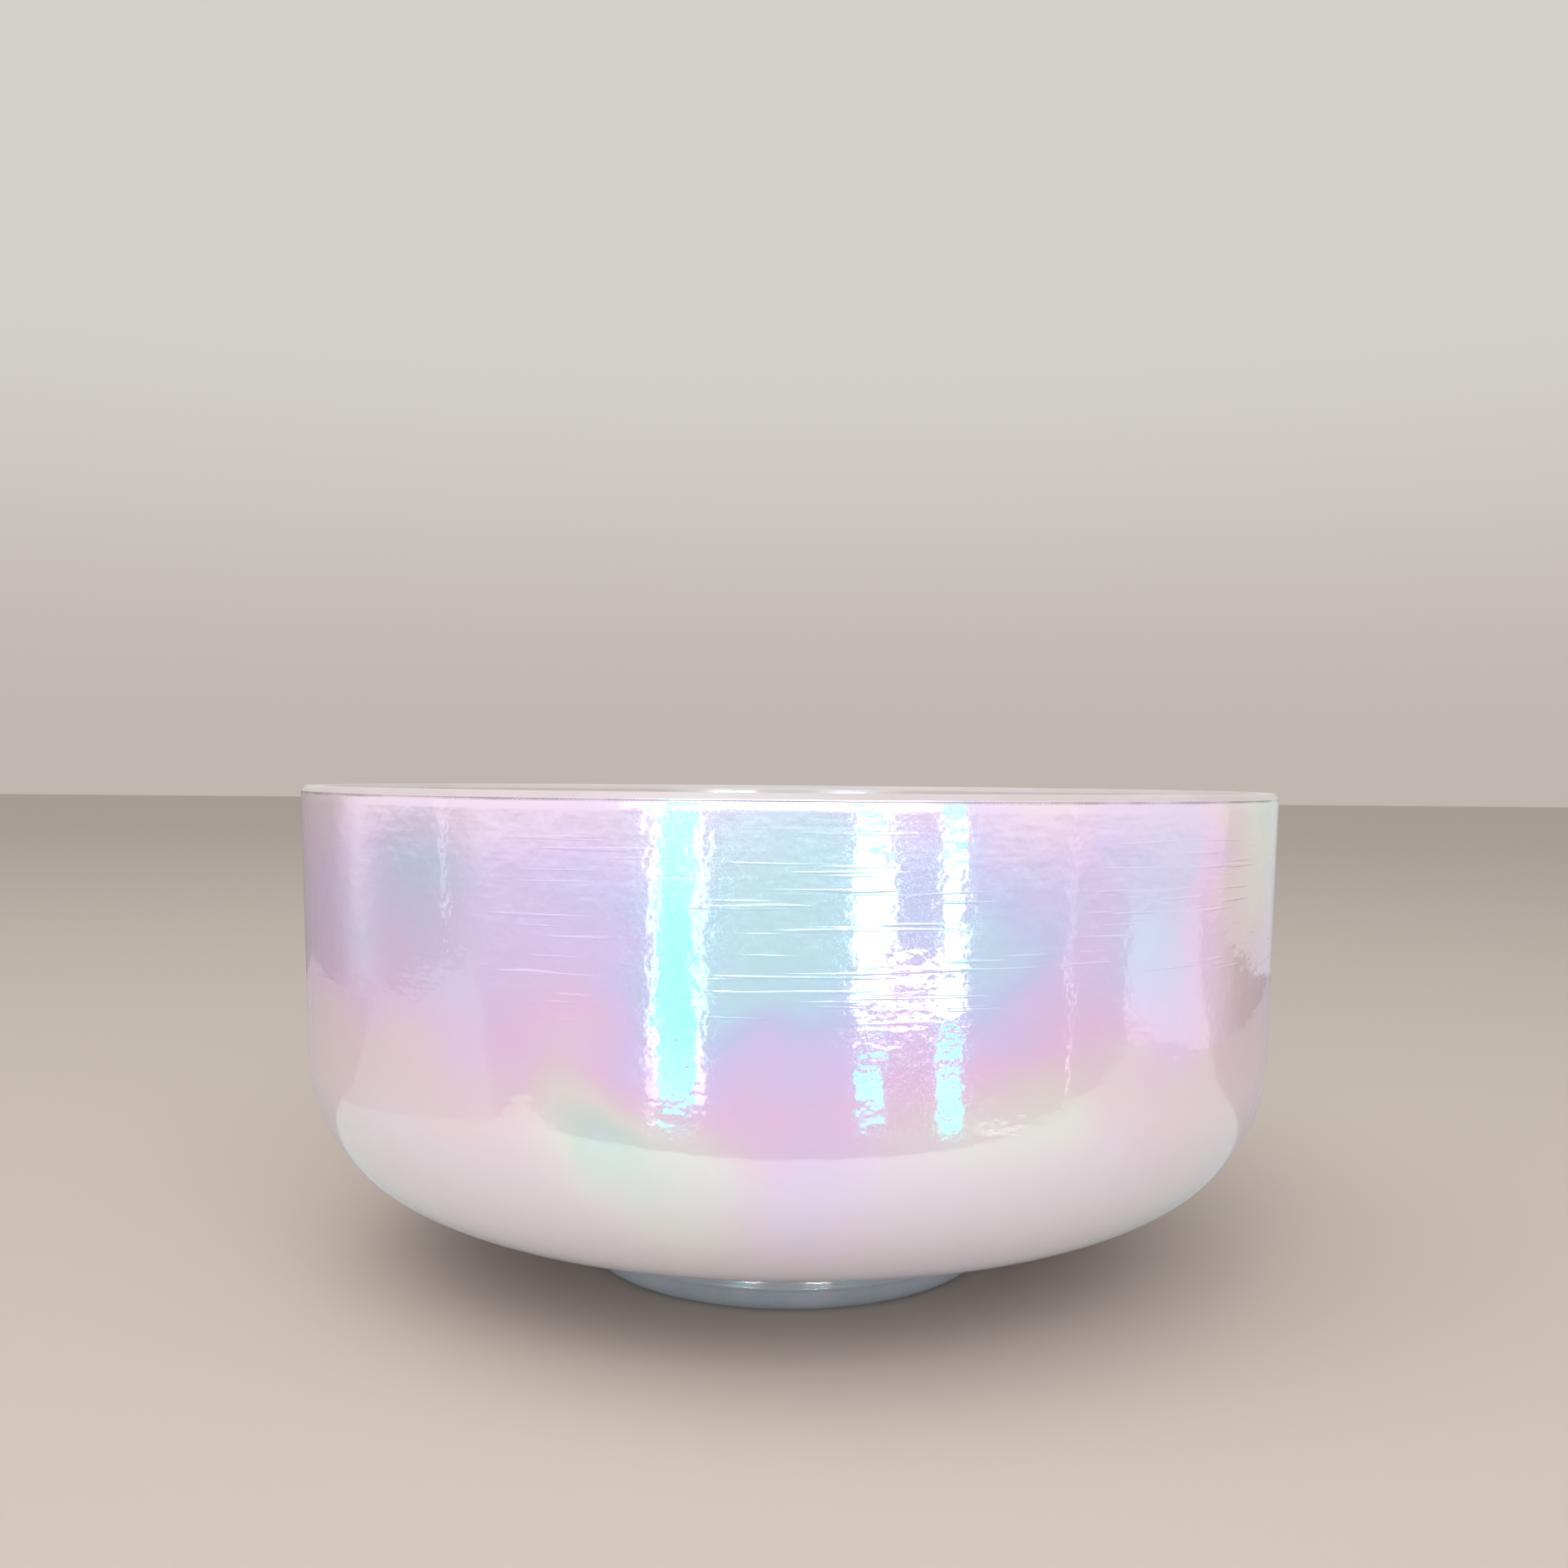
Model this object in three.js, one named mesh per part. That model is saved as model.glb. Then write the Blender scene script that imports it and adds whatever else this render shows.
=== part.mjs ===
// A crystal singing bowl: a bowl of fused quartz with a pearl coating, standing on a soft silicone ring.
// Millimetres, +Z up. The origin is on the axis, in the plane that the ring stands on.
import * as THREE from "three";

// The quartz bowl
const rimDiameter = 203;
const bowlHeight = 92;
const wall = 5;
const baseThickness = 6;
const wallDraft = THREE.MathUtils.degToRad(2.1);
const cornerRadius = 31; // between the wall and the bottom, outside
const crownRadius = 304; // of the nearly flat bottom, outside
const bevelHeight = 1.2;
const bevelWidth = 0.9;

// The silicone ring
const ringInnerDiameter = 67;
const ringSection = 10;
const footWidth = 3; // of the flat that the ring stands on, where the bowl's weight presses it down

const seatGap = 0.3; // between the ring and the bowl that rests on it

// How finely the round shapes are cut
const turnSteps = 72;
const cornerSteps = 10;
const crownSteps = 8;
const sectionSteps = 20;

// Where the bowl comes to rest on the ring: the two arcs touch on the line between their centres.
const sectionRadius = ringSection / 2;
const ringRadius = ringInnerDiameter / 2 + sectionRadius;
const sectionHeight = Math.sqrt(sectionRadius ** 2 - (footWidth / 2) ** 2);
const crownCentreHeight = sectionHeight + Math.sqrt((crownRadius + sectionRadius + seatGap) ** 2 - ringRadius ** 2);
const rimHeight = crownCentreHeight - crownRadius + bowlHeight;

// One skin of the bowl, from the rim down to the axis: a straight wall that leans in, a corner arc that is
// tangent to it, and a crown arc that is tangent to the corner and centred on the axis.
function bowlSkin(rimRadius, corner, crown) {
  const wallDistance = rimRadius * Math.cos(wallDraft) - (rimHeight - crownCentreHeight) * Math.sin(wallDraft);
  // The arcs meet on the line between their centres, which leans out from the axis by this angle.
  const turn = Math.asin((wallDistance - corner) / (crown - corner)) - wallDraft;
  const r = (crown - corner) * Math.sin(turn);
  const z = crownCentreHeight - (crown - corner) * Math.cos(turn);
  const meeting = turn - Math.PI / 2;
  const cornerArc = new THREE.ArcCurve(r, z, corner, -wallDraft, meeting, true).getPoints(cornerSteps);
  const crownArc = new THREE.ArcCurve(0, crownCentreHeight, crown, meeting, -Math.PI / 2, true).getPoints(crownSteps);
  crownArc.at(-1).x = 0; // exactly on the axis
  return [...cornerArc, ...crownArc.slice(1)];
}

function turned(profile) {
  return new THREE.LatheGeometry(profile, turnSteps).rotateX(Math.PI / 2);
}

function bowlGeometry() {
  const outerRadius = rimDiameter / 2;
  const innerRadius = outerRadius - wall;
  const bevelFoot = bevelHeight * Math.tan(wallDraft);
  const lip = [
    new THREE.Vector2(outerRadius - bevelFoot, rimHeight - bevelHeight),
    new THREE.Vector2(outerRadius - bevelWidth, rimHeight),
    new THREE.Vector2(innerRadius + bevelWidth, rimHeight),
    new THREE.Vector2(innerRadius - bevelFoot, rimHeight - bevelHeight),
  ];
  const outside = bowlSkin(outerRadius, cornerRadius, crownRadius);
  const inside = bowlSkin(innerRadius, cornerRadius - wall, crownRadius - baseThickness);
  return turned([...outside.reverse(), ...lip, ...inside]);
}

function ringGeometry() {
  const footAngle = Math.asin(footWidth / 2 / sectionRadius);
  const section = new THREE.ArcCurve(
    ringRadius, sectionHeight, sectionRadius, footAngle - Math.PI / 2, 1.5 * Math.PI - footAngle,
  ).getPoints(sectionSteps);
  return turned([...section, section[0].clone()]);
}

const quartz = new THREE.MeshStandardMaterial({ color: "#e3d8e6", roughness: 0.12, metalness: 0 });
const silicone = new THREE.MeshStandardMaterial({ color: "#a9b4bd", roughness: 0.35, metalness: 0 });

const bowl = new THREE.Mesh(bowlGeometry(), quartz);
bowl.name = "bowl";

const supportRing = new THREE.Mesh(ringGeometry(), silicone);
supportRing.name = "support_ring";

const singingBowl = new THREE.Group();
singingBowl.add(supportRing, bowl);

export default singingBowl;
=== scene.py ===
import math

import bpy
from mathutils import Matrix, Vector


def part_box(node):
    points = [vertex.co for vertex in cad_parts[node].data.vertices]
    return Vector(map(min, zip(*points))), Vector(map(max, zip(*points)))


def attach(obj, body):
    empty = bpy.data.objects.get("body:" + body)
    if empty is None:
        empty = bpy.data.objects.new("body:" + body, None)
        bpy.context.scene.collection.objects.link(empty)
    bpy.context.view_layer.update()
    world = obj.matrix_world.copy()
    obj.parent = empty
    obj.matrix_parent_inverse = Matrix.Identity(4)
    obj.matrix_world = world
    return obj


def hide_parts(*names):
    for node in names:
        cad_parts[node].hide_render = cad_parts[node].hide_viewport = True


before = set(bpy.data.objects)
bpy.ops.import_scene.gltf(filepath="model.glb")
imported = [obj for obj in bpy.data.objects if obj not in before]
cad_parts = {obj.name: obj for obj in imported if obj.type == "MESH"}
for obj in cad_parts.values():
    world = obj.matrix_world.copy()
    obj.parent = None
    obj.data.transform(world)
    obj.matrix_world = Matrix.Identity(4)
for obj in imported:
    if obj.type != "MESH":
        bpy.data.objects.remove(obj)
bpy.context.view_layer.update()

# --------------------------------------------------------------------------------------------------
# The bowl: one piece of fused quartz, spun in a hot mould, so it is round and very slightly wavy. Its
# near-upright wall runs through a rounded corner into a crowned bottom. The rim is ground flat and left
# bare, with a fine scored line where the coating stops. The outside carries the pearl coat.
bowl_low, bowl_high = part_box("bowl")
chamfer_height = 0.00105
chamfer_width = 0.0009
edge_rounding = 0.00016  # left by the grinding wheel on the rim's four edges
score_depth = 0.00009
score_width = 0.00045
score_below = 0.4  # the share of the score's width that lies under its deepest line
lean = math.radians(2.1)  # of the wall, which widens towards the rim
wall_thickness = 0.005
base_thickness = 0.006
corner_radius = 0.031
crown_radius = 0.304
turns = 240  # faces round the bowl
near = 1e-5  # how close to a place a point has to be to be picked there
real_edge = math.radians(25)  # edges sharper than this stay sharp

rim_height = bowl_high.z
chamfer_foot = bowl_high.x  # the widest radius, just under the chamfer
crown_centre = bowl_low.z + crown_radius


def deselect_all():
    if bpy.context.object and bpy.context.object.mode != "OBJECT":
        bpy.ops.object.mode_set(mode="OBJECT")
    bpy.ops.object.select_all(action="DESELECT")


def select_points(piece, wanted):
    """Selects the points whose place is wanted, and leaves the piece in edit mode."""
    bpy.ops.object.mode_set(mode="EDIT")
    bpy.ops.mesh.select_mode(type="VERT")
    bpy.ops.mesh.select_all(action="DESELECT")
    bpy.ops.object.mode_set(mode="OBJECT")
    for point in piece.data.vertices:
        point.select = wanted(point.co)
    bpy.ops.object.mode_set(mode="EDIT")


def start_profile(name, x, z):
    """A new mesh of one point, selected in edit mode, at the start of a turned piece's half profile."""
    deselect_all()
    bpy.ops.mesh.primitive_plane_add(size=0.001, location=(0, 0, 0))
    piece = bpy.context.object
    piece.name = piece.data.name = name
    bpy.ops.object.mode_set(mode="EDIT")
    bpy.ops.mesh.select_all(action="SELECT")
    bpy.ops.mesh.merge(type="CENTER")
    bpy.ops.transform.translate(value=(x, 0, z))
    return piece


def run_to(start, end, steps):
    """Extrudes the profile's last point along a straight line."""
    for _ in range(steps):
        move = ((end[0] - start[0]) / steps, 0, (end[1] - start[1]) / steps)
        bpy.ops.mesh.extrude_vertices_move(TRANSFORM_OT_translate={"value": move})


def arc_to(centre, angle, steps):
    """Spins the profile's last point about a centre in the XZ plane."""
    bpy.ops.mesh.spin(steps=steps, angle=angle, center=(centre[0], 0, centre[1]), axis=(0, -1, 0))


def round_points(piece, places, radius, steps):
    """Turns these corners of the profile into small arcs."""
    select_points(piece, lambda co: any((co - Vector((x, 0, z))).length < near for x, z in places))
    bpy.ops.mesh.bevel(offset=radius, offset_type="OFFSET", segments=steps, affect="VERTICES")


def turn_on_axis(count):
    """Spins the profile once round the axis, closes the seam and the poles, and faces it outwards."""
    bpy.ops.mesh.select_all(action="SELECT")
    bpy.ops.mesh.spin(steps=count, angle=2 * math.pi, center=(0, 0, 0), axis=(0, 0, 1))
    bpy.ops.mesh.select_all(action="SELECT")
    bpy.ops.mesh.remove_doubles(threshold=1e-6)
    bpy.ops.mesh.normals_make_consistent(inside=False)
    bpy.ops.object.mode_set(mode="OBJECT")


def skin_arcs(foot_radius, corner, crown):
    """The lean of the line between the two arcs' centres, and the corner arc's centre."""
    foot_height = rim_height - chamfer_height - crown_centre
    wall_distance = foot_radius * math.cos(lean) - foot_height * math.sin(lean)
    turn = math.asin((wall_distance - corner) / (crown - corner)) - lean
    centre = ((crown - corner) * math.sin(turn), crown_centre - (crown - corner) * math.cos(turn))
    return turn, centre


def on_arc(centre, radius, turn):
    return centre[0] + radius * math.sin(turn), centre[1] - radius * math.cos(turn)


inner_foot = chamfer_foot - wall_thickness
inner_corner = corner_radius - wall_thickness
inner_crown = crown_radius - base_thickness
outer_turn, outer_centre = skin_arcs(chamfer_foot, corner_radius, crown_radius)
inner_turn, inner_centre = skin_arcs(inner_foot, inner_corner, inner_crown)
wall_turn = math.pi / 2 - lean  # where both corner arcs run into the wall
score_low = rim_height - chamfer_height - score_width
score = [
    (chamfer_foot - score_width * math.tan(lean), score_low),
    (chamfer_foot - score_depth, score_low + score_width * score_below),
]
lip = [
    (chamfer_foot, rim_height - chamfer_height),
    (chamfer_foot - chamfer_width, rim_height),
    (inner_foot + chamfer_width, rim_height),
    (inner_foot, rim_height - chamfer_height),
]

bowl = start_profile("crystal_bowl", 0, bowl_low.z)
arc_to((0, crown_centre), -outer_turn, 40)
arc_to(outer_centre, outer_turn - wall_turn, 28)
run_to(on_arc(outer_centre, corner_radius, wall_turn), score[0], 34)
run_to(score[0], score[1], 1)
run_to(score[1], lip[0], 1)
run_to(lip[0], lip[1], 1)
run_to(lip[1], lip[2], 3)
run_to(lip[2], lip[3], 1)
run_to(lip[3], on_arc(inner_centre, inner_corner, wall_turn), 28)
arc_to(inner_centre, wall_turn - inner_turn, 24)
arc_to((0, crown_centre), inner_turn, 36)
round_points(bowl, lip, edge_rounding, 3)
turn_on_axis(turns)


def smooth_step(low, high, value):
    t = min(max((value - low) / (high - low), 0), 1)
    return t * t * (3 - 2 * t)


# The spun quartz keeps a faint waviness, which bends the reflections. The ground rim and the bottom
# don't have it.
wave_height = 0.00014
wave_length = 0.028
wavy = bowl.vertex_groups.new(name="wavy")
for point in bowl.data.vertices:
    below_rim = smooth_step(0.005, 0.014, rim_height - point.co.z)
    above_base = smooth_step(0.004, 0.016, point.co.z - bowl_low.z)
    wavy.add([point.index], below_rim * above_base, "REPLACE")
waves = bpy.data.textures.new("waves", "CLOUDS")
waves.noise_scale = wave_length
waves.noise_depth = 1
wave = bowl.modifiers.new("wave", "DISPLACE")
wave.texture = waves
wave.texture_coords = "LOCAL"
wave.vertex_group = "wavy"
wave.strength = wave_height
wave.mid_level = 0.5
bpy.ops.object.modifier_apply(modifier="wave")


def finish_in_place(piece):
    """Smooth shading with the real edges kept, and the place in the mesh and not in the object."""
    deselect_all()
    piece.select_set(True)
    bpy.context.view_layer.objects.active = piece
    bpy.ops.object.transform_apply(location=True, rotation=True, scale=True)
    bpy.ops.object.shade_smooth_by_angle(angle=real_edge)


finish_in_place(bowl)


def add_node(tree, kind, **settings):
    node = tree.nodes.new("ShaderNode" + kind)
    for name, value in settings.items():
        setattr(node, name, value)
    return node


def feed(tree, socket, value):
    """Links another node's output to a socket, or sets the socket's own value."""
    if isinstance(value, bpy.types.NodeSocket):
        tree.links.new(value, socket)
    else:
        socket.default_value = value


def fill(tree, node, **inputs):
    """Feeds inputs by name, with _ for a space."""
    for name, value in inputs.items():
        feed(tree, node.inputs[name.replace("_", " ")], value)


def maths(tree, operation, a, b=0.0):
    node = add_node(tree, "Math", operation=operation)
    feed(tree, node.inputs[0], a)
    feed(tree, node.inputs[1], b)
    return node.outputs[0]


def vector_maths(tree, operation, a, b):
    node = add_node(tree, "VectorMath", operation=operation)
    feed(tree, node.inputs[0], a)
    feed(tree, node.inputs[1], b)
    return node.outputs["Value" if operation == "DISTANCE" else "Vector"]


def axes_of(tree, vector):
    """A vector's X, Y and Z."""
    parts = add_node(tree, "SeparateXYZ")
    feed(tree, parts.inputs[0], vector)
    return parts.outputs


def noise(tree, position, scale, detail=2.0, roughness=0.5):
    node = add_node(tree, "TexNoise")
    fill(tree, node, Vector=position, Scale=scale, Detail=detail, Roughness=roughness)
    return node.outputs["Fac"]


def spread(tree, value, low, high, to_low=0.0, to_high=1.0, smooth=True):
    """Maps a value from low..high onto to_low..to_high."""
    node = add_node(tree, "MapRange", interpolation_type="SMOOTHSTEP" if smooth else "LINEAR")
    fill(tree, node, Value=value, From_Min=low, From_Max=high, To_Min=to_low, To_Max=to_high)
    return node.outputs["Result"]


def ramp(tree, value, stops):
    """A colour ramp with a stop for each (place, colour)."""
    node = add_node(tree, "ValToRGB")
    steps = node.color_ramp.elements
    while len(steps) < len(stops):
        steps.new(1.0)
    for step, (place, colour) in zip(steps, stops):
        step.position = place
        step.color = (*colour, 1)
    tree.links.new(value, node.inputs["Fac"])
    return node.outputs["Color"]


def mix_colours(tree, share, a, b):
    node = add_node(tree, "Mix", data_type="RGBA")
    feed(tree, node.inputs["Factor"], share)
    feed(tree, node.inputs[6], a)
    feed(tree, node.inputs[7], b)
    return node.outputs[2]


def new_group(name, output, kind):
    """A node group that takes a position and has one output of this kind."""
    group = bpy.data.node_groups.new(name, "ShaderNodeTree")
    group.interface.new_socket(name="Position", in_out="INPUT", socket_type="NodeSocketVector")
    group.interface.new_socket(name=output, in_out="OUTPUT", socket_type=kind)
    source = group.nodes.new("NodeGroupInput")
    sink = group.nodes.new("NodeGroupOutput")
    return group, source.outputs["Position"], sink.inputs[output]


def place_group(tree, group, position):
    node = add_node(tree, "Group", node_tree=group)
    feed(tree, node.inputs["Position"], position)
    return node.outputs[0]


def bump(tree, distance, height):
    """The surface direction with this relief, whose height of 1 is the distance."""
    node = add_node(tree, "Bump")
    fill(tree, node, Strength=1.0, Distance=distance, Height=height)
    return node.outputs["Normal"]


def new_material(name):
    """A material with its shader and the piece's own coordinates."""
    material = bpy.data.materials.new(name)
    material.use_nodes = True
    tree = material.node_tree
    shader = tree.nodes["Principled BSDF"]
    return material, tree, shader, add_node(tree, "TexCoord").outputs["Object"]


# The pearl coat is a clear film whose thickness drifts over the bowl and makes its colour. From thin to
# thick it goes through lilac, grey-blue, green, cream, rose, orchid, lavender, blue and aqua. The coat is
# paler round the bottom and at the rim, where less of it was sprayed.
film_colours = [
    (0.02, (0.74, 0.68, 0.82)),
    (0.12, (0.66, 0.76, 0.80)),
    (0.22, (0.63, 0.79, 0.66)),
    (0.32, (0.80, 0.78, 0.70)),
    (0.42, (0.84, 0.66, 0.72)),
    (0.51, (0.84, 0.60, 0.83)),
    (0.61, (0.74, 0.63, 0.90)),
    (0.73, (0.60, 0.67, 0.90)),
    (0.85, (0.55, 0.83, 0.93)),
    (0.97, (0.56, 0.86, 0.90)),
]
film_by_height = [  # film thickness from the bottom to the rim
    (0.00, 0.46),
    (0.14, 0.44),
    (0.34, 0.43),
    (0.45, 0.41),
    (0.53, 0.43),
    (0.61, 0.51),
    (0.70, 0.58),
    (0.84, 0.61),
    (0.94, 0.52),
    (1.00, 0.43),
]
film_clouds = [  # thicker and thinner places: degrees round from the front, height, reach, by how much
    (0, 0.080, 0.028, 0.38),
    (21, 0.079, 0.020, 0.28),
    (13, 0.082, 0.015, 0.26),
    (38, 0.084, 0.022, 0.14),
    (39, 0.068, 0.020, 0.16),
    (-39, 0.086, 0.030, 0.14),
    (-19, 0.079, 0.016, 0.05),
    (-10, 0.090, 0.022, 0.26),
    (-10, 0.064, 0.021, 0.32),
    (-16, 0.049, 0.020, -0.20),
    (-11, 0.037, 0.020, -0.16),
    (21, 0.049, 0.018, -0.12),
    (3, 0.050, 0.022, 0.12),
    (3, 0.034, 0.022, 0.12),
    (58, 0.086, 0.034, -0.27),
    (90, 0.070, 0.036, 0.36),
    (128, 0.060, 0.032, 0.26),
    (104, 0.040, 0.026, -0.18),
    (176, 0.080, 0.040, 0.34),
    (160, 0.040, 0.028, -0.20),
    (-88, 0.078, 0.034, 0.30),
    (-136, 0.056, 0.034, 0.22),
    (-110, 0.038, 0.026, -0.18),
]
pearl_white = (0.80, 0.81, 0.86, 1)
drift_reach = (0.045, 0.045, 0.030)
film_unevenness = 0.14
film, position, film_colour = new_group("pearl_film", "Colour", "NodeSocketColor")
drift = add_node(film, "TexNoise")
fill(film, drift, Vector=position, Scale=26.0, Detail=2.0, Roughness=0.5)
drift_way = vector_maths(film, "SUBTRACT", drift.outputs["Color"], (0.5, 0.5, 0.5))
drifted = vector_maths(film, "ADD", position, vector_maths(film, "MULTIPLY", drift_way, drift_reach))
height = axes_of(film, drifted)["Z"]
level = spread(film, height, bowl_low.z, rim_height, smooth=False)
thickness = ramp(film, level, [(place, (value, value, value)) for place, value in film_by_height])
cloud_radius = chamfer_foot - 0.002
for turn, centre_height, reach, amount in film_clouds:
    a = math.radians(turn)
    middle = (cloud_radius * math.sin(a), -cloud_radius * math.cos(a), centre_height)
    away = vector_maths(film, "DISTANCE", drifted, middle)
    thickness = maths(film, "ADD", thickness, spread(film, away, 0.0, reach, amount, 0.0))
uneven = maths(film, "SUBTRACT", noise(film, position, 17.0), 0.5)
thickness = maths(film, "ADD", thickness, maths(film, "MULTIPLY", uneven, film_unevenness))
pale_below = spread(film, height, 0.054, 0.036, 0.08, 0.55)
pale_above = spread(film, height, rim_height - 0.016, rim_height - 0.002, 0.0, 0.45)
paleness = maths(film, "MAXIMUM", pale_below, pale_above)
feed(film, film_colour, mix_colours(film, paleness, ramp(film, thickness, film_colours), pearl_white))

# The surface of spun quartz: fine ripples all over, and thin level ridges drawn out round the wall while
# it was hot.
skin, position, skin_height = new_group("quartz_skin", "Height", "NodeSocketFloat")
ripple = noise(skin, position, 620.0, detail=1.5)
swell = noise(skin, position, 150.0, detail=1.0)


def drawn_out(round_scale, height_scale):
    """Noise drawn out level round the wall, at a slight tilt."""
    tilt = add_node(skin, "Mapping")
    scale = (round_scale, round_scale, height_scale)
    fill(skin, tilt, Vector=position, Rotation=(0.0, math.radians(1.6), 0.0), Scale=scale)
    return noise(skin, tilt.outputs["Vector"], 1.0, detail=1.0)


height = axes_of(skin, position)["Z"]
above_band_foot = spread(skin, height, 0.060, 0.072)
below_band_top = spread(skin, height, 0.096, 0.088)
in_band = maths(skin, "MULTIPLY", above_band_foot, below_band_top)
patches = spread(skin, noise(skin, position, 32.0), 0.42, 0.56)
thin_lines = spread(skin, drawn_out(36.0, 1050.0), 0.61, 0.72)
ridges = maths(skin, "MULTIPLY", thin_lines, maths(skin, "MULTIPLY", in_band, patches))
relief = maths(skin, "ADD", maths(skin, "MULTIPLY", ripple, 1.1), maths(skin, "MULTIPLY", swell, 3.0))
relief = maths(skin, "ADD", relief, maths(skin, "MULTIPLY", drawn_out(150.0, 800.0), 0.6))
calmer_below = spread(skin, height, 0.054, 0.066, 0.45, 1.0)
relief = maths(skin, "MULTIPLY", relief, calmer_below)
feed(skin, skin_height, maths(skin, "ADD", relief, maths(skin, "MULTIPLY", ridges, 1.3)))

# The pearl coat is glossy over that relief, with a few dull specks. Its edge at the scored line is duller,
# and darker with painted shade that stands for the shadow in the score, more in some places than in others.
coat, tree, shader, position = new_material("pearl_coated_quartz")
pearl = place_group(tree, film, position)
relief = bump(tree, 0.00003, place_group(tree, skin, position))
gloss = spread(tree, noise(tree, position, 45.0, detail=4.0), 0.3, 0.7, 0.035, 0.070)
specks = spread(tree, noise(tree, position, 4500.0), 0.50, 0.62, 0.0, 0.13)
gloss = maths(tree, "ADD", gloss, specks)
above_line = maths(tree, "SUBTRACT", axes_of(tree, position)["Z"], score_low + score_width * score_below)
off_line = maths(tree, "ABSOLUTE", above_line)
score_shade_strength = spread(tree, noise(tree, position, 110.0), 0.35, 0.65, 0.2, 0.6)
# Painted shade: the score's groove is darkened in the coat's colour, and the same mask makes it duller.
score_shade_and_dullness = maths(tree, "MULTIPLY", spread(tree, off_line, score_width * 0.8, score_width * 0.2), score_shade_strength)
coat_and_score_shade = mix_colours(tree, score_shade_and_dullness, pearl, (0.20, 0.19, 0.20, 1))
gloss = maths(tree, "ADD", gloss, maths(tree, "MULTIPLY", score_shade_and_dullness, 0.4))
fill(tree, shader, Base_Color=coat_and_score_shade, Roughness=gloss, Normal=relief,
     Metallic=0.4, IOR=1.9, Thin_Film_Thickness=260.0, Thin_Film_IOR=1.6)

# Bare quartz shows on the ground rim and inside, milky from its tiny bubbles, and duller where it was
# ground. A little of the coat drifted over the rim while it was sprayed, and thins out down the inside.
quartz, tree, shader, position = new_material("milky_quartz")
pearl = place_group(tree, film, position)
relief = bump(tree, 0.00001, place_group(tree, skin, position))
height = axes_of(tree, position)["Z"]
uneven_height = maths(tree, "ADD", height, maths(tree, "MULTIPLY", noise(tree, position, 60.0), 0.014))
overspray = spread(tree, uneven_height, rim_height - 0.012, rim_height + 0.004, 0.05, 0.16)
bubbles = noise(tree, position, 38.0, detail=3.0)
milk = ramp(tree, bubbles, [(0.3, (0.41, 0.38, 0.35)), (0.7, (0.48, 0.45, 0.42))])
# Deeper inside, the milk is lighter. This is partly the quartz's milky white and partly painted light that
# offsets the shade in the hollow.
deep_milk_and_painted_light = spread(tree, height, rim_height - 0.006, rim_height - 0.030)
milk = mix_colours(tree, deep_milk_and_painted_light, milk, (0.66, 0.635, 0.62, 1))
ground = spread(tree, height, rim_height - chamfer_height - 0.0002, rim_height - chamfer_height)
gloss = spread(tree, noise(tree, position, 70.0, detail=4.0), 0.3, 0.7, 0.10, 0.20)
gloss = maths(tree, "ADD", gloss, maths(tree, "MULTIPLY", ground, 0.3))
fill(tree, shader, Base_Color=mix_colours(tree, overspray, milk, pearl), Roughness=gloss,
     Normal=relief, IOR=1.6, Subsurface_Weight=0.25, Subsurface_Scale=0.004)

bowl.data.materials.append(coat)
bowl.data.materials.append(quartz)
mouth = Vector((0, 0, rim_height))
for face in bowl.data.polygons:
    faces_out = face.normal.dot(face.center - mouth) > 0
    coated = faces_out and face.center.z < rim_height - chamfer_height
    face.material_index = 0 if coated else 1
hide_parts("bowl")
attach(bowl, "bowl")

# --------------------------------------------------------------------------------------------------
# The support ring: a loose ring of soft translucent silicone with a round section, made in one piece in a
# two-part mould. The bowl's weight presses a flat foot into it underneath and a narrow seat on top.
ring_low, ring_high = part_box("support_ring")
section_radius = 0.0052
section_height = 0.00493
ring_radius = ring_high.x - 0.005
seat_clearance = 0.00002  # of the pressed seat from the bowl
parting_line = 0.00004  # how far the moulding line stands proud

deselect_all()
bpy.ops.mesh.primitive_torus_add(
    major_segments=192, minor_segments=48, major_radius=ring_radius, minor_radius=section_radius,
    location=(0, 0, 0),
)
ring = bpy.context.object
ring.name = ring.data.name = "silicone_ring"
for side in (1, -1):
    equator = ring_radius + side * section_radius
    select_points(ring, lambda co: abs(co.xy.length - equator) < near and abs(co.z) < near)
    grow = 1 + side * parting_line / equator
    bpy.ops.transform.resize(value=(grow, grow, 1), center_override=(0, 0, 0))
bpy.ops.mesh.select_all(action="SELECT")
bpy.ops.transform.translate(value=(0, 0, section_height))
select_points(ring, lambda co: co.z < 0)
bpy.ops.transform.resize(value=(1, 1, 0), center_override=(0, 0, 0))
bpy.ops.object.mode_set(mode="OBJECT")
crown = Vector((0, 0, crown_centre))
for point in ring.data.vertices:
    from_crown = point.co - crown
    if from_crown.length < crown_radius + seat_clearance:
        point.co = crown + from_crown.normalized() * (crown_radius + seat_clearance)
finish_in_place(ring)

# Silicone, clouded through, with a little dust on it and a thin ridge where the mould's two halves met.
silicone, tree, shader, position = new_material("silicone")
cloudiness = noise(tree, position, 90.0, detail=3.0)
cloudy = ramp(tree, cloudiness, [(0.3, (0.51, 0.60, 0.67)), (0.7, (0.60, 0.69, 0.76))])
dust = spread(tree, noise(tree, position, 1500.0, detail=2.0), 0.66, 0.74)
dusty = mix_colours(tree, maths(tree, "MULTIPLY", dust, 0.35), cloudy, (0.7, 0.68, 0.64, 1))
gloss = spread(tree, noise(tree, position, 160.0), 0.3, 0.7, 0.11, 0.18)
gloss = maths(tree, "ADD", gloss, maths(tree, "MULTIPLY", dust, 0.3))
above_parting = maths(tree, "SUBTRACT", axes_of(tree, position)["Z"], section_height)
at_parting = spread(tree, maths(tree, "ABSOLUTE", above_parting), 0.0006, 0.0)
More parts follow.
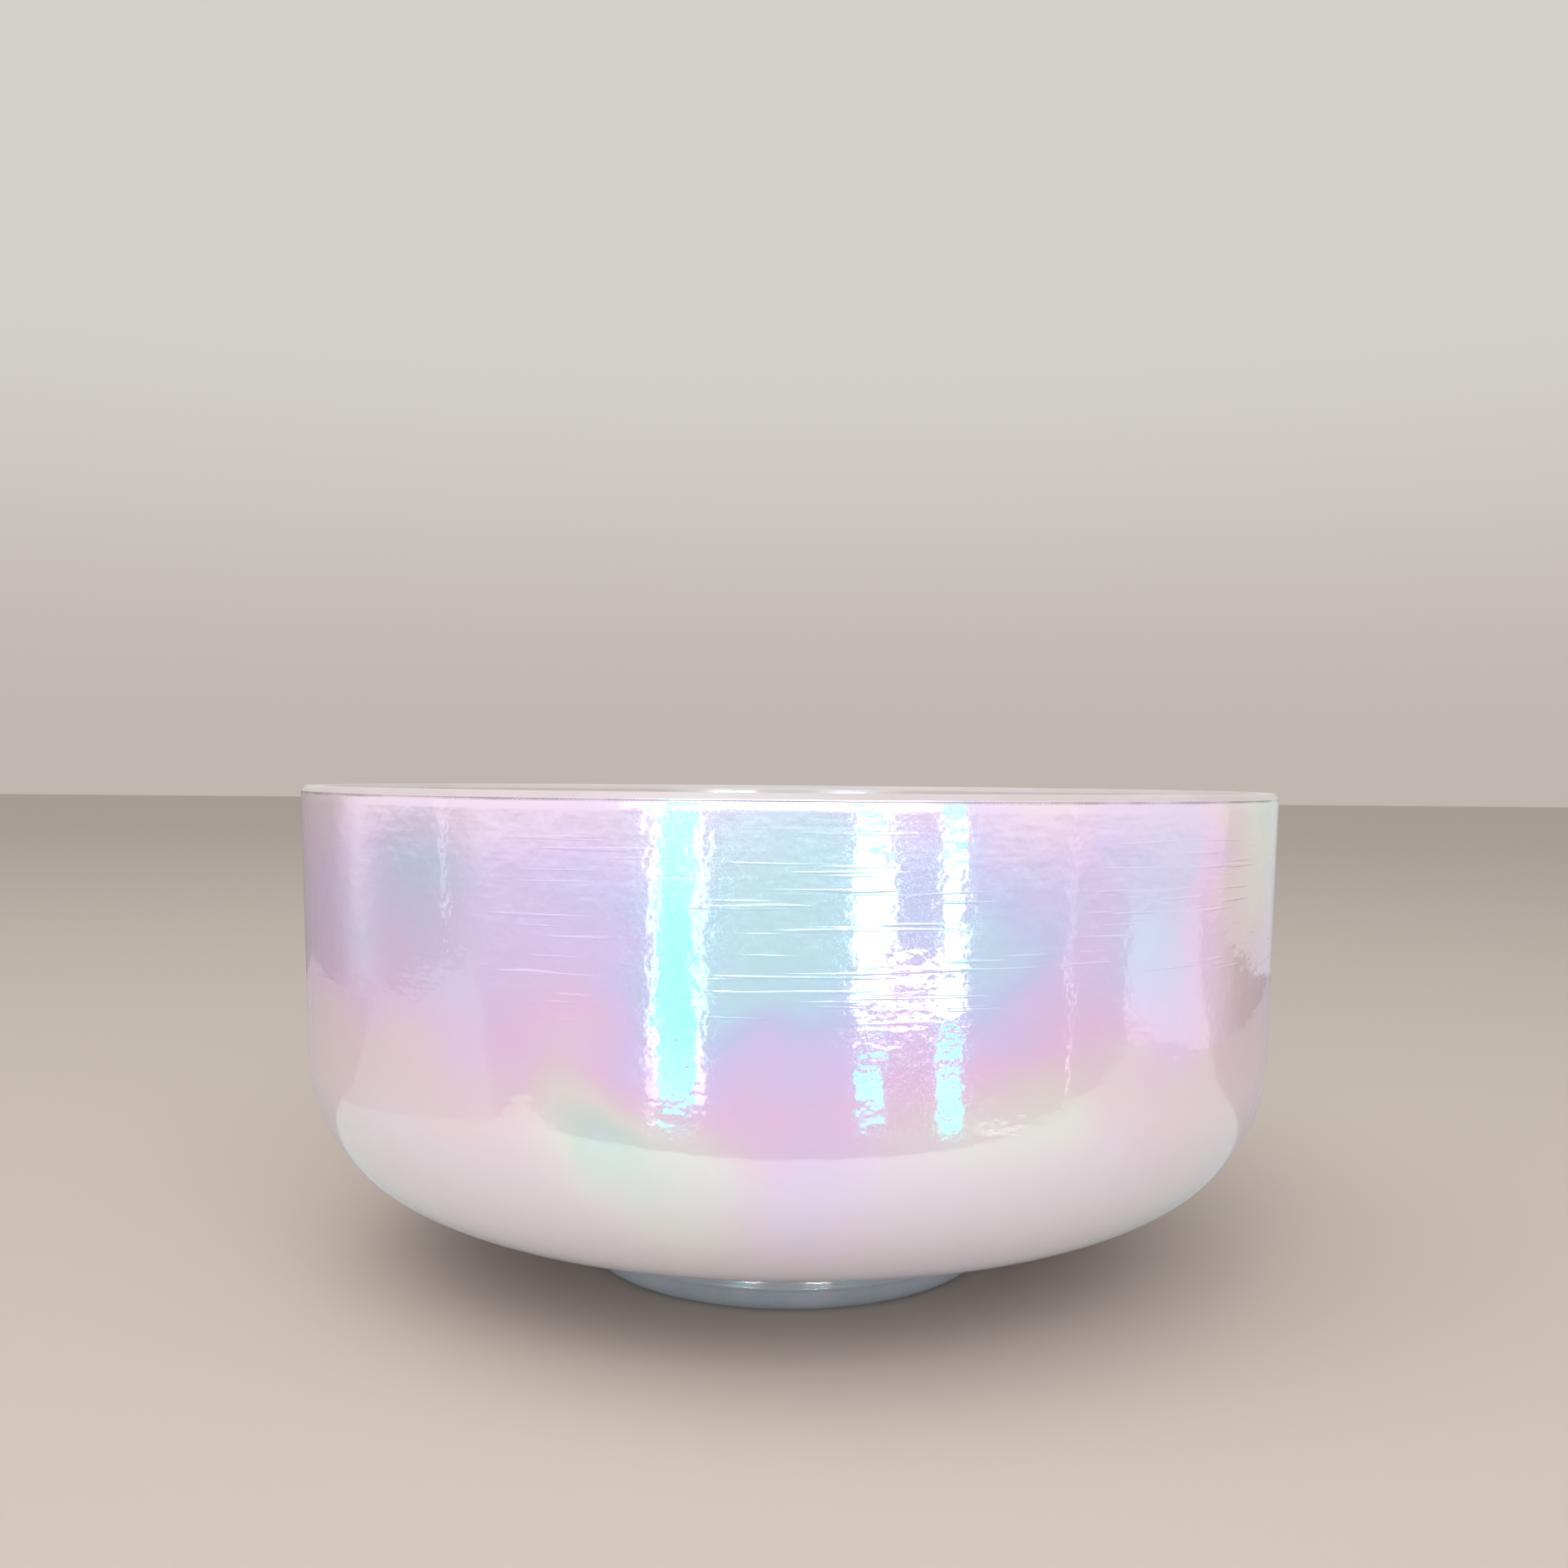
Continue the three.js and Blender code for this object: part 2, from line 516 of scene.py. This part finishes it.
ridge_height = spread(tree, noise(tree, position, 70.0), 0.4, 0.6, 8.0, 13.0)
ridge = maths(tree, "MULTIPLY", at_parting, ridge_height)
relief = bump(tree, 0.00001, maths(tree, "ADD", ridge, noise(tree, position, 900.0, detail=3.0)))
fill(tree, shader, Base_Color=dusty, Roughness=gloss, Normal=relief,
     IOR=1.41, Subsurface_Weight=0.5, Subsurface_Scale=0.003)
ring.data.materials.append(silicone)
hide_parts("support_ring")
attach(ring, "support_ring")

# --------------------------------------------------------------------------------------------------
# The studio: a plain pale floor, soft light from above and the front, and the tall windows beyond the
# table's front edge. The windows and the table's edges show only as the glossy coat mirrors them.
deselect_all()
bpy.ops.mesh.primitive_plane_add(size=12, location=(0, 0, 0))
floor = bpy.context.object
floor.name = "floor"
paint = bpy.data.materials.new("pale_floor")
paint.use_nodes = True
shader = paint.node_tree.nodes["Principled BSDF"]
shader.inputs["Base Color"].default_value = (0.52, 0.455, 0.40, 1)
shader.inputs["Roughness"].default_value = 0.8
shader.inputs["Specular IOR Level"].default_value = 0
floor.data.materials.append(paint)
floor.visible_glossy = False


def only_mirrored(piece):
    """Leaves a piece of the room to be seen in reflections only."""
    piece.visible_camera = False
    piece.visible_diffuse = False
    piece.visible_shadow = False


above_floor = 0.0002  # so that the floor doesn't shade it


def mirrored_top(name, corners, colour):
    """A stretch of table top that only reflections show, by its corners from the left front round."""
    deselect_all()
    bpy.ops.mesh.primitive_plane_add(size=1, location=(0, 0, 0))
    top = bpy.context.object
    top.name = name
    left_front, right_front, right_back, left_back = corners
    in_mesh_order = (left_front, right_front, left_back, right_back)
    for point, corner in zip(top.data.vertices, in_mesh_order):
        point.co = (*corner, above_floor)
    paint = bpy.data.materials.new(name)
    paint.use_nodes = True
    shader = paint.node_tree.nodes["Principled BSDF"]
    shader.inputs["Base Color"].default_value = (*colour, 1)
    shader.inputs["Roughness"].default_value = 0.8
    top.data.materials.append(paint)
    only_mirrored(top)


cloth_colour = (0.58, 0.66, 0.63)
shaded_cloth = (0.49, 0.54, 0.52)
back = 0.03  # how far back the front stretches reach
mirrored_top("table_left", [(-0.46, -0.215), (-0.20, -0.150), (-0.20, back), (-0.43, back)], shaded_cloth)
mirrored_top("table_middle", [(-0.20, -0.182), (0.18, -0.182), (0.18, back), (-0.20, back)], cloth_colour)
mirrored_top("table_right", [(0.18, -0.182), (0.32, -0.115), (0.32, back), (0.18, back)], cloth_colour)
mirrored_top("table_behind", [(-0.43, back), (0.33, back), (0.34, 0.4), (-0.40, 0.4)], (0.43, 0.41, 0.40))
mirrored_top("table_end", [(0.32, -0.132), (0.70, -0.21), (0.74, 0.09), (0.33, back)], (0.84, 0.90, 0.92))


def window_pane(name, azimuth, width, low, high, brightness, colour,
                left_fade=0.04, right_fade=0.04, distance=1.4):
    """A lit pane in this direction from the bowl, that only reflections show, and whose sides fade."""
    a = math.radians(azimuth)
    deselect_all()
    bpy.ops.mesh.primitive_plane_add(size=1, rotation=(math.pi / 2, 0, a))
    pane = bpy.context.object
    pane.name = name
    pane.location = (distance * math.sin(a), -distance * math.cos(a), (low + high) / 2)
    pane.scale = (width, high - low, 1)
    glow = bpy.data.materials.new(name)
    glow.use_nodes = True
    tree = glow.node_tree
    across = axes_of(tree, add_node(tree, "TexCoord").outputs["Object"])["X"]
    from_left = spread(tree, across, -0.5, -0.5 + left_fade)
    from_right = spread(tree, across, 0.5, 0.5 - right_fade)
    fill(tree, tree.nodes["Principled BSDF"], Base_Color=(0, 0, 0, 1), Emission_Color=(*colour, 1),
         Emission_Strength=brightness, Alpha=maths(tree, "MULTIPLY", from_left, from_right))
    pane.data.materials.append(glow)
    only_mirrored(pane)


sky = (0.02, 1.0, 1.0)
daylight = (1.0, 1.0, 1.0)
head = 0.8  # the height of the windows' heads
sill = -0.33
transom = -0.04
window_pane("left_window", -23.0, 0.19, sill, head, 3.6, sky)
window_pane("left_window_edge", -28.3, 0.065, sill, head, 2.4, daylight, 0.6)
window_pane("left_window_rail", -17.7, 0.065, sill, head, 2.4, daylight, 0.04, 0.6)
window_pane("middle_window_top", 17.0, 0.17, transom, head, 3.0, sky)
window_pane("middle_window", 17.0, 0.19, -0.24, transom, 4.0, daylight)
window_pane("middle_window_foot", 17.0, 0.15, -0.34, -0.30, 4.4, sky)
window_pane("right_window_top", 34.0, 0.11, transom, head, 3.0, sky)
window_pane("right_window", 34.0, 0.13, -0.24, transom, 4.0, daylight)
window_pane("right_window_foot", 34.0, 0.13, -0.36, -0.285, 4.4, sky)
window_pane("window_sill", 25.5, 0.42, -0.25, -0.20, 3.5, daylight)
window_pane("low_sill", 47.0, 0.45, -0.352, -0.343, 2.6, (0.7, 0.95, 1.0), 0.3, 0.5)
window_pane("left_window_sky", -20.0, 0.32, 0.13, 0.34, 30.0, daylight)
window_pane("middle_window_sky", 17.0, 0.32, 0.13, 0.34, 30.0, daylight)
window_pane("window_heads", 0.0, 2.30, 0.155, 1.0, 2.2, daylight, 0.1, 0.1, 1.45)
window_pane("side_window", 136.0, 1.40, -0.12, head, 0.68, (0.90, 1.0, 1.0), 0.03, 0.4)
window_pane("door_frame", 61.0, 0.012, -0.30, head, 1.6, daylight)
window_pane("far_left_frame", -78.0, 0.030, -0.12, head, 1.1, daylight)


def soft_box(name, shape, width, depth, watts, place):
    """A broad soft light that faces the bowl. A disk has only a width."""
    light = bpy.data.lights.new(name, "AREA")
    light.shape = shape
    light.size = width
    light.size_y = depth
    light.energy = watts
    box = bpy.data.objects.new(name, light)
    bpy.context.scene.collection.objects.link(box)
    box.location = place
    box.rotation_euler = Vector(place).to_track_quat("Z", "Y").to_euler()
    box.visible_camera = False


soft_box("overhead", "DISK", 1.6, 1.6, 8, (-0.5, -0.5, 1.5))
soft_box("front_light", "RECTANGLE", 1.4, 0.9, 14, (0.1, -1.3, 0.9))

# The room is dim in front, behind and at the left, low down. It lights less than it mirrors, and the camera
# sees a plain backdrop in its place.
world = bpy.data.worlds.new("studio")
bpy.context.scene.world = world
world.use_nodes = True
tree = world.node_tree
room = tree.nodes["Background"]
aim = axes_of(tree, add_node(tree, "TexCoord").outputs["Generated"])
walls = ramp(tree, spread(tree, aim["Z"], -1.0, 1.0, smooth=False), [
    (0.0, (0.62, 0.57, 0.54)),
    (0.43, (0.62, 0.62, 0.66)),
    (0.47, (0.92, 0.94, 0.97)),
    (0.56, (0.84, 0.85, 0.88)),
    (1.0, (0.88, 0.88, 0.88)),
])
darker_parts = [  # the axis and where along it the part comes in, the heights where it comes in, its colour
    ("Y", 0.1, -0.5, -0.07, -0.20, (0.52, 0.46, 0.56, 1)),
    ("Y", 0.3, 0.6, 0.4, 0.1, (0.31, 0.285, 0.27, 1)),
    ("X", -0.92, -0.99, -0.02, -0.10, (0.40, 0.38, 0.41, 1)),
]
room_light = walls
for axis, start, end, above, below, colour in darker_parts:
    on_that_side = spread(tree, aim[axis], start, end)
    low_down = spread(tree, aim["Z"], above, below)
    part = maths(tree, "MULTIPLY", on_that_side, low_down)
    room_light = mix_colours(tree, part, room_light, colour)
as_mirrored = 1.1
as_light = 0.80
seen = add_node(tree, "LightPath").outputs
strength = spread(tree, seen["Is Diffuse Ray"], 0.0, 1.0, as_mirrored, as_light, smooth=False)
fill(tree, room, Color=room_light, Strength=strength)
backdrop = add_node(tree, "Background")
upwards = spread(tree, aim["Z"], 0.0, 0.3)
backdrop_colour = mix_colours(tree, upwards, (0.525, 0.472, 0.433, 1), (0.66, 0.63, 0.60, 1))
fill(tree, backdrop, Color=backdrop_colour, Strength=1.0)
view = add_node(tree, "MixShader")
feed(tree, view.inputs["Fac"], seen["Is Camera Ray"])
feed(tree, view.inputs[1], room.outputs["Background"])
feed(tree, view.inputs[2], backdrop.outputs["Background"])
feed(tree, tree.nodes["World Output"].inputs["Surface"], view.outputs["Shader"])

camera_data = bpy.data.cameras.new("camera")
camera_data.sensor_width = 36
camera_data.lens = 34.66
camera_data.clip_start = 0.01
camera = bpy.data.objects.new("camera", camera_data)
bpy.context.scene.collection.objects.link(camera)
camera.location = (-0.0012, -0.3291, rim_height + 0.00255)
camera.rotation_euler = (math.pi / 2 - 0.0051, -0.0086, 0)
bpy.context.scene.camera = camera
bpy.context.scene.view_settings.view_transform = "Standard"
